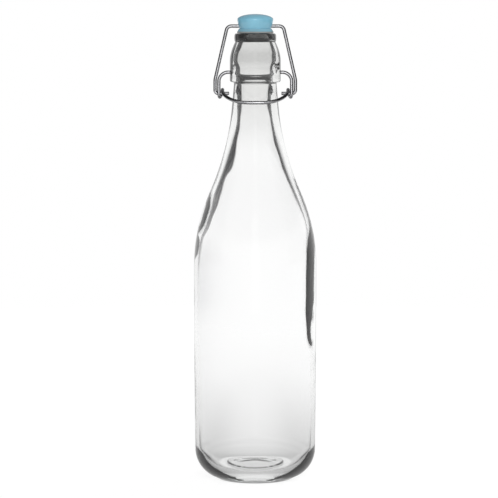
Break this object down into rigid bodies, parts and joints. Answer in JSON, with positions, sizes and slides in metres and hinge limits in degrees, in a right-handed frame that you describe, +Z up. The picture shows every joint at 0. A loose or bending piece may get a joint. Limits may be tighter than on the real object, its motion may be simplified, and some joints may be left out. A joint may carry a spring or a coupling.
{
  "type": "swing-top bottle",
  "caption": "Tall clear glass bottle closed by a blue swing-top stopper on a wire bail, which a hinged wire lever pulls down onto the lip.",
  "frame": {"origin": "centre of the base, on the surface that the bottle stands on", "axes": "+Z up along the bottle's axis, -Y towards the front of the closure where the lever hangs, +X to the right seen from the front"},
  "size_m": [0.086, 0.086, 0.3263],
  "materials": {
    "clear_glass": "clear, fire-polished",
    "blue_plastic": "glossy moulded plastic",
    "clear_silicone": "translucent silicone",
    "steel_wire": "drawn wire"
  },
  "bodies": {
    "bottle": {"bottle": "clear_glass"},
    "lever": {"lever_wire": "steel_wire"},
    "bail": {"bail_wire": "steel_wire"},
    "stopper": {"stopper": "blue_plastic", "gasket": "clear_silicone"}
  },
  "joints": [
    {"name": "lever_pivot", "type": "hinge", "parent": "bottle", "child": "lever", "pos_m": [0, 0, 0.2858], "axis": [-1, 0, 0], "range_deg": [0, 100]},
    {"name": "bail_pivot", "type": "hinge", "parent": "lever", "child": "bail", "pos_m": [0, 0.0008, 0.271], "axis": [-1, 0, 0], "range_deg": [-70, 0]},
    {"name": "stopper_swivel", "type": "hinge", "parent": "bail", "child": "stopper", "pos_m": [0, 0, 0.31792], "axis": [-1, 0, 0], "range_deg": [-33, 0]}
  ],
  "couplings": [
    {"joint": "bail_pivot", "follows": "lever_pivot", "ratio": -0.6846},
    {"joint": "stopper_swivel", "follows": "lever_pivot", "ratio": -0.3154}
  ]
}
